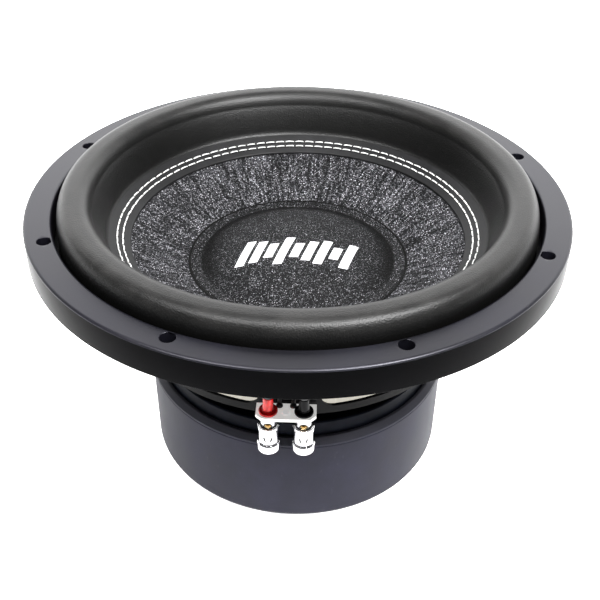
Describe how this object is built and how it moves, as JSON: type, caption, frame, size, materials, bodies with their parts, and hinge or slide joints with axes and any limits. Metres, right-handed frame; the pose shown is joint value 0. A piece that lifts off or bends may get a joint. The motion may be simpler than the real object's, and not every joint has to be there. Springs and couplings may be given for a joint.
{
  "type": "car subwoofer speaker",
  "caption": "Twelve-inch car subwoofer driver with a tall rubber surround, a moving paper cone, a steel basket, a rubber-booted double magnet and spring terminals.",
  "frame": {"origin": "centre of the magnet boot's underside, which is the resting face, on the driver's axis", "axes": "+Z along the driver's axis, out through the cone; -Y towards the terminals; +X to the right seen from the terminals"},
  "size_m": [0.32, 0.32, 0.1858],
  "materials": {
    "basket_paint": "satin black powder coat",
    "ring_rubber": "moulded satin rubber",
    "surround_rubber": "fine pebbled matt",
    "spider_cloth": "resin-treated woven cloth",
    "plate_black": "black passivated steel",
    "ferrite": "ground ferrite",
    "motor_steel": "zinc-plated steel",
    "screen_wire": "woven steel wire",
    "boot_rubber": "satin moulded rubber",
    "screw_steel": "zinc-plated steel",
    "board_fibre": "white glass-fibre board",
    "rivet_metal": "bright",
    "bushing_red": "glossy moulded",
    "bushing_black": "glossy moulded",
    "terminal_chrome": "polished plating",
    "spring_steel": "drawn wire",
    "solder_sleeve": "black sealed joint",
    "lead_braid": "braided over tinsel",
    "cone_pulp": "unpressed paper pulp with glitter flecks",
    "lip_rubber": "smooth satin",
    "thread": "white twisted thread",
    "cap_pulp": "pressed paper pulp",
    "glue": "glossy black glue",
    "former_film": "amber film",
    "copper_wire": "enamelled round wire",
    "eyelet_brass": "stamped"
  },
  "bodies": {
    "frame": {"basket": "basket_paint", "trim_ring": "ring_rubber", "surround": "surround_rubber", "spider": "spider_cloth", "top_plate": "plate_black", "magnet_upper": "ferrite", "magnet_lower": "ferrite", "back_plate": "motor_steel", "pole_piece": "motor_steel", "vent_screen": "screen_wire", "magnet_boot": "boot_rubber", "basket_screws": "screw_steel", "terminal_board": "board_fibre", "board_rivets": "rivet_metal", "bushing_red": "bushing_red", "bushing_black": "bushing_black", "terminal_posts": "terminal_chrome", "spring_red": "spring_steel", "spring_black": "spring_steel", "solder_joints": "solder_sleeve", "lead_red": "lead_braid", "lead_black": "lead_braid"},
    "cone_unit": {"cone": "cone_pulp", "surround_lip": "lip_rubber", "stitch_row_outer": "thread", "stitch_row_inner": "thread", "dust_cap": "cap_pulp", "cap_glue_bead": "glue", "coil_former": "former_film", "coil_winding": "copper_wire", "lead_eyelets": "eyelet_brass"},
    "red_sleeve_unit": {"sleeve_red": "terminal_chrome", "grip_red": "terminal_chrome"},
    "black_sleeve_unit": {"sleeve_black": "terminal_chrome", "grip_black": "terminal_chrome"}
  },
  "joints": [
    {"name": "cone_travel", "type": "slide", "parent": "frame", "child": "cone_unit", "axis": [0, 0, 1], "range_m": [-0.014, 0.014], "stiffness_N_per_m": 8000, "deforming": ["surround", "spider", "lead_red", "lead_black"]},
    {"name": "red_sleeve_pull", "type": "slide", "parent": "frame", "child": "red_sleeve_unit", "axis": [0, 0, -1], "range_m": [0, 0.0035], "stiffness_N_per_m": 600, "springref_m": -0.003, "deforming": ["spring_red"]},
    {"name": "black_sleeve_pull", "type": "slide", "parent": "frame", "child": "black_sleeve_unit", "axis": [0, 0, -1], "range_m": [0, 0.0035], "stiffness_N_per_m": 600, "springref_m": -0.003, "deforming": ["spring_black"]}
  ]
}
